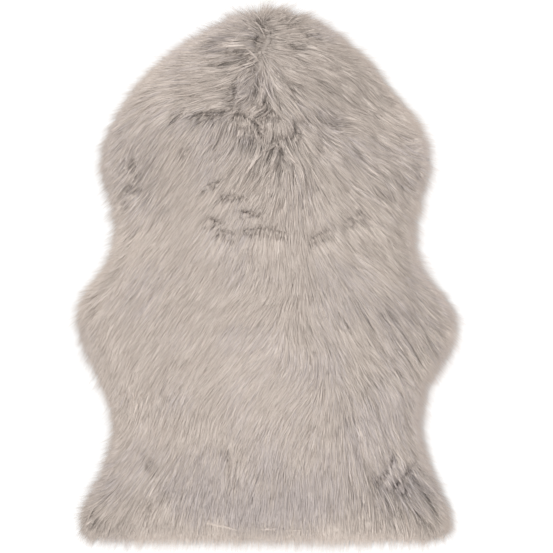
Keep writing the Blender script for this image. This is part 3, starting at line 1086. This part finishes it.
        mesh.shade_smooth()
        return mesh


# ---------------------------------------------------------------- materials


class Shade:
    """One output of a material's nodes. Sums and products add Math nodes, and node() adds any other."""

    def __init__(self, tree, socket=None):
        self.tree, self.socket = tree, socket

    def node(self, kind, settings=None, values=None, out=0):
        """Adds a node: first its settings, then its inputs' values or links, by name or place."""
        made = self.tree.nodes.new(kind)
        for name, value in (settings or {}).items():
            setattr(made, name, value)
        for key, value in (values or {}).items():
            if isinstance(value, Shade):
                self.tree.links.new(value.socket, made.inputs[key])
            else:
                made.inputs[key].default_value = value
        return Shade(self.tree, made.outputs[out])

    def math(self, operation, a, b=0.0):
        """Adds a Math node of two values."""
        return self.node("ShaderNodeMath", {"operation": operation}, {0: a, 1: b})

    def __add__(self, other):
        return self.math("ADD", self, other)

    def __radd__(self, other):
        return self.math("ADD", other, self)

    def __sub__(self, other):
        return self.math("SUBTRACT", self, other)

    def __mul__(self, other):
        return self.math("MULTIPLY", self, other)

    def __rmul__(self, other):
        return self.math("MULTIPLY", other, self)


def opaque(colour, shade=1.0):
    """A colour with its alpha, made darker or brighter by a factor."""
    return (*(min(1.0, part * shade) for part in colour), 1.0)


def mix_colour(factor, low, high):
    """A Mix node between two colours: its colour sockets are the seventh and eighth."""
    return factor.node("ShaderNodeMix", {"data_type": "RGBA"}, {0: factor, 6: low, 7: high}, out=2)


def new_material(name):
    """An empty node material with a shader, and the start of its expressions."""
    material = bpy.data.materials.new(name)
    material.use_nodes = True
    shader = material.node_tree.nodes["Principled BSDF"]
    return material, shader, Shade(material.node_tree)


def fleece_material(colours):
    """Hair, read from the map OFBake: tone across it, and up it root to tip, first warm and then cool."""
    material, shader, start = new_material("fleece_hair")
    at = start.node("ShaderNodeUVMap", {"uv_map": "OFBake"})
    split = start.node("ShaderNodeSeparateXYZ", None, {0: at})
    tone, up = split, Shade(start.tree, split.socket.node.outputs[1])
    cool = up.math("GREATER_THAN", up, 0.5)
    height = 2 * up - cool
    tips = mix_colour(tone, opaque(colours.deep), opaque(colours.pale))
    roots = mix_colour(
        tone, opaque(colours.deep, colours.root_shade), opaque(colours.pale, colours.root_shade)
    )
    rise = height.node("ShaderNodeMapRange", {"interpolation_type": "SMOOTHSTEP"}, {0: height, 2: 0.70})
    warm = mix_colour(rise, roots, tips)
    tint = mix_colour(cool, (1.0, 1.0, 1.0, 1.0), opaque(colours.cool))
    colour = start.node(
        "ShaderNodeMix", {"data_type": "RGBA", "blend_type": "MULTIPLY"}, {0: 1.0, 6: warm, 7: tint}, out=2
    )
    material.node_tree.links.new(colour.socket, shader.inputs["Base Color"])
    shader.inputs["Roughness"].default_value = 0.62
    shader.inputs["Specular IOR Level"].default_value = 0.30
    return material


def undercoat_material(colours):
    """The short dense wool under the hair: a fine mottle and a woolly bump, darker across the map OFBake."""
    material, shader, start = new_material("undercoat_wool")
    dark = start.node("ShaderNodeSeparateXYZ", None, {0: start.node("ShaderNodeUVMap", {"uv_map": "OFBake"})})
    at = start.node("ShaderNodeTexCoord", out="Object")
    mottle = start.node("ShaderNodeTexNoise", None, {"Vector": at, "Scale": 220.0, "Detail": 3.0})
    pale, dim = (
        mix_colour(mottle, opaque(colours.deep, shade), opaque(colours.pale, shade))
        for shade in UNDERCOAT_SHADES
    )
    colour = mix_colour(dark, pale, dim)
    material.node_tree.links.new(colour.socket, shader.inputs["Base Color"])
    wool = start.node("ShaderNodeTexNoise", None, {"Vector": at, "Scale": 900.0, "Detail": 2.0})
    bump = start.node("ShaderNodeBump", None, {"Strength": 0.6, "Distance": 0.0015, "Height": wool})
    material.node_tree.links.new(bump.socket, shader.inputs["Normal"])
    shader.inputs["Roughness"].default_value = 0.9
    return material


def hide_material(colours):
    """Suede: a soft nap with a slow mottle and pores."""
    material, shader, start = new_material("hide_suede")
    at = start.node("ShaderNodeTexCoord", out="Object")
    slow = start.node("ShaderNodeTexNoise", None, {"Vector": at, "Scale": 14.0, "Detail": 4.0})
    fine = start.node("ShaderNodeTexNoise", None, {"Vector": at, "Scale": 420.0, "Detail": 3.0})
    mottle = slow * 0.7 + fine * 0.3
    colour = mix_colour(mottle, opaque(colours.hide, 0.82), opaque(colours.hide, 1.16))
    material.node_tree.links.new(colour.socket, shader.inputs["Base Color"])
    material.node_tree.links.new((0.78 + 0.2 * fine).socket, shader.inputs["Roughness"])
    bump = start.node("ShaderNodeBump", None, {"Strength": 0.5, "Distance": 0.0006, "Height": fine})
    material.node_tree.links.new(bump.socket, shader.inputs["Normal"])
    return material


def floor_material():
    """Plain pale studio floor."""
    material, shader, _ = new_material("studio_floor")
    shader.inputs["Base Color"].default_value = (0.79, 0.79, 0.79, 1.0)
    shader.inputs["Roughness"].default_value = 0.9
    return material


# ---------------------------------------------------------------- meshes


def surface_object(name, points, faces, material):
    """A mesh object at the origin, smooth, linked to the scene."""
    mesh = bpy.data.meshes.new(name)
    mesh.from_pydata(points.tolist(), [], faces.tolist())
    mesh.update()
    mesh.shade_smooth()
    return placed(name, mesh, material)


def placed(name, mesh, material):
    """An object of this mesh and material, linked to the scene."""
    mesh.materials.append(material)
    obj = bpy.data.objects.new(name, mesh)
    bpy.context.scene.collection.objects.link(obj)
    return obj


def along(line, shares):
    """Points at these shares of an open line's length."""
    length = np.concatenate([[0], np.cumsum(np.linalg.norm(np.diff(line, axis=0), axis=1))])
    return np.stack([np.interp(shares * length[-1], length, line[:, k]) for k in range(2)], axis=-1)


def spread_grid(plan, inset, across, up):
    """A grid of places inside the rim less an inset, its corners at the named rows of the outline.

    It is a Coons patch: (1-v) tail + v head + (1-u) left + u right, less the same blend of the corners.
    """
    outward = [plan.read(name, *plan.line.T) for name in ("out_x", "out_y")]
    line = plan.line - inset * np.stack(outward, -1)
    names = [row[0] for row in OUTLINE]
    right = [SPLINE_STEPS * (2 + names.index(name)) for name in CORNER_ROWS]
    left = [len(line) - SPLINE_STEPS * (2 + names.index(name)) for name in CORNER_ROWS]

    def stretch(start, end):
        return line[np.arange(start, end + 1 if end > start else end + 1 + len(line)) % len(line)]

    u, v = np.linspace(0, 1, across + 1), np.linspace(0, 1, up + 1)
    tail, head = along(stretch(left[0], right[0]), u), along(stretch(right[1], left[1])[::-1], u)
    west, east = along(stretch(left[1], left[0])[::-1], v), along(stretch(right[0], right[1]), v)
    u, v = u[:, None, None], v[None, :, None]
    corners = (1 - u) * (1 - v) * tail[0] + u * (1 - v) * tail[-1] + (1 - u) * v * head[0] + u * v * head[-1]
    grid = (1 - v) * tail[:, None] + v * head[:, None] + (1 - u) * west[None] + u * east[None] - corners
    return grid[..., 0], grid[..., 1]


def grid_faces(index):
    """Quads between the neighbours of a grid of point numbers, facing up."""
    return np.stack([index[:-1, :-1], index[1:, :-1], index[1:, 1:], index[:-1, 1:]], axis=-1).reshape(-1, 4)


def closed_shell(x, y, top, bottom):
    """Points and faces of a shell with an upper and a lower sheet over one grid, which share their rim."""
    upper = np.arange(x.size).reshape(x.shape)
    inner = np.zeros(x.shape, bool)
    inner[1:-1, 1:-1] = True
    lower = upper.copy()
    lower[inner] = x.size + np.arange(inner.sum())
    points = np.concatenate(
        [np.stack([x, y, top], axis=-1).reshape(-1, 3), np.stack([x, y, bottom], axis=-1)[inner]]
    )
    return points, np.concatenate([grid_faces(upper), grid_faces(lower)[:, ::-1]])


# ---------------------------------------------------------------- operators


def shared_plan():
    """The plan, worked out once for every piece."""
    if not hasattr(shared_plan, "kept"):
        shared_plan.kept = Plan(bpy.context.scene.rug.sizes)
    return shared_plan.kept


def hide_top(sizes):
    """Height of the hide's upper face."""
    return 2 * HIDE_WAVE + sizes.hide_thickness


class RUG_OT_hide(bpy.types.Operator):
    """Cuts the soft hide that lies on the floor under the fleece"""

    bl_idname = "rug.hide"
    bl_label = "Hide"

    def execute(self, context):
        rug = context.scene.rug
        sizes = rug.sizes
        x, y = spread_grid(shared_plan(), sizes.hide_inset, *HIDE_CELLS)
        wave = value_noise(x, y, HIDE_WAVE_SIZE, SEEDS["swell"] + 1)
        points = np.stack([x, y, HIDE_WAVE * (1 + wave)], axis=-1).reshape(-1, 3)
        hide = surface_object(
            "hide", points, grid_faces(np.arange(x.size).reshape(x.shape)), hide_material(rug.colours)
        )
        wall = hide.modifiers.new("thickness", "SOLIDIFY")
        wall.thickness, wall.offset = sizes.hide_thickness, 1.0
        edge = hide.modifiers.new("edge", "BEVEL")
        edge.width, edge.segments, edge.limit_method = 0.3 * sizes.hide_thickness, 2, "ANGLE"
        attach(hide, "root")
        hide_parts("pelt")
        return {"FINISHED"}


class RUG_OT_undercoat(bpy.types.Operator):
    """Fills the fleece under its strands with dense short wool"""

    bl_idname = "rug.undercoat"
    bl_label = "Undercoat"

    def execute(self, context):
        rug = context.scene.rug
        plan = shared_plan()
        inset = rug.sizes.hide_inset
        x, y = spread_grid(plan, inset, *UNDERCOAT_CELLS)
        inside = plan.read("inside", x, y) - inset
        floor = hide_top(rug.sizes) + PIECE_GAP
        rise = np.clip(inside / UNDERCOAT_SHOULDER, 0, 1)
        body = plan.read("top", x, y) - UNDERCOAT_DEPTH - floor
        body += 0.0012 * value_noise(x, y, 0.007, SEEDS["tuft"] + 1)
        height = floor + np.maximum(body, 0.001) * (1 - (1 - rise) ** 2) ** 0.5
        points, faces = closed_shell(x, y, height, np.full(x.shape, floor))
        wool = surface_object("undercoat", points, faces, undercoat_material(rug.colours))
        corner = np.empty(len(wool.data.loops), np.int32)
        wool.data.loops.foreach_get("vertex_index", corner)
        uv = np.full((len(corner), 2), 0.5, np.float32)
        uv[:, 0] = np.clip(plan.read("dark", points[:, 0], points[:, 1]), 0.01, 0.99)[corner]
        wool.data.uv_layers.new(name="OFBake").uv.foreach_set("vector", uv.ravel())
        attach(wool, "root")
        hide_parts("pelt")
        return {"FINISHED"}


class RUG_OT_fleece(bpy.types.Operator):
    """Combs the fleece: five pieces of tapered strands from the tail to the head"""

    bl_idname = "rug.fleece"
    bl_label = "Fleece"

    def execute(self, context):
        rug = context.scene.rug
        fleece = Fleece(shared_plan(), rug.sizes)
        material = fleece_material(rug.colours)
        bounds = np.quantile(fleece.root_y, np.linspace(0, 1, len(FLEECE_PIECES) + 1))
        band = np.searchsorted(bounds[1:-1], fleece.root_y)
        for k, name in enumerate(FLEECE_PIECES):
            obj = placed(name, fleece.ribbon_mesh(name, np.flatnonzero(band == k)), material)
            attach(obj, "root")
            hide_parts("pelt")
        return {"FINISHED"}


class RUG_OT_lay(bpy.types.Operator):
    """States the cut size of the hide and what is sewn to it: the undercoat and the fleece"""

    bl_idname = "rug.lay"
    bl_label = "Lay"

    def execute(self, context):
        edge = np.stack(spread_grid(shared_plan(), context.scene.rug.sizes.hide_inset, *HIDE_CELLS), axis=-1)
        return {"FINISHED"}


class RUG_OT_stage(bpy.types.Operator):
    """Sets the floor, the light and the camera straight above"""

    bl_idname = "rug.stage"
    bl_label = "Stage"

    def execute(self, context):
        corners = np.array([(-1.0, -1.0, 0.0), (1.0, -1.0, 0.0), (1.0, 1.0, 0.0), (-1.0, 1.0, 0.0)])
        floor = surface_object("floor", FLOOR_REACH * corners, np.array([(0, 1, 2, 3)]), floor_material())
        world = bpy.data.worlds.new("studio_world")
        world.use_nodes = True
        sky = world.node_tree.nodes["Background"].inputs
        sky["Color"].default_value = (1.0, 1.0, 1.0, 1.0)
        sky["Strength"].default_value = SKY_STRENGTH
        context.scene.world = world
        light = bpy.data.lights.new("softbox", "SUN")
        light.energy = SUN_STRENGTH
        light.angle = np.radians(SUN_SPREAD)
        lamp = bpy.data.objects.new("softbox", light)
        lamp.rotation_euler = Euler((*np.radians(SUN_TURN), 0.0))
        context.scene.collection.objects.link(lamp)
        lens = bpy.data.cameras.new("camera")
        lens.lens, lens.sensor_width = CAMERA_LENS, CAMERA_SENSOR
        camera = bpy.data.objects.new("camera", lens)
        camera.location = CAMERA_PLACE
        context.scene.collection.objects.link(camera)
        context.scene.camera = camera
        context.scene.view_settings.view_transform = "Standard"
        return {"FINISHED"}


class RUG_PT_panel(bpy.types.Panel):
    """Lists the rug's sizes, colours and pieces"""

    bl_idname = "RUG_PT_panel"
    bl_label = "Sheepskin Rug"
    bl_space_type = "VIEW_3D"
    bl_region_type = "UI"
    bl_category = "Rug"

    def draw(self, context):
        rug = context.scene.rug
        for group in (rug.sizes, rug.colours):
            for name in group.__annotations__:
                self.layout.prop(group, name)
        for operator in OPERATORS:
            self.layout.operator(operator.bl_idname)


OPERATORS = (RUG_OT_hide, RUG_OT_undercoat, RUG_OT_fleece, RUG_OT_stage, RUG_OT_lay)
CLASSES = (RugSizes, RugColours, RugSettings, *OPERATORS, RUG_PT_panel)


def register():
    for cls in CLASSES:
        bpy.utils.register_class(cls)
    bpy.types.Scene.rug = PointerProperty(type=RugSettings)


def unregister():
    del bpy.types.Scene.rug
    for cls in reversed(CLASSES):
        bpy.utils.unregister_class(cls)


def main():
    """Builds the rug with its operators, in order."""
    register()
    for operator in OPERATORS:
        group, name = operator.bl_idname.split(".")
        getattr(getattr(bpy.ops, group), name)()


if __name__ == "__main__":
    main()
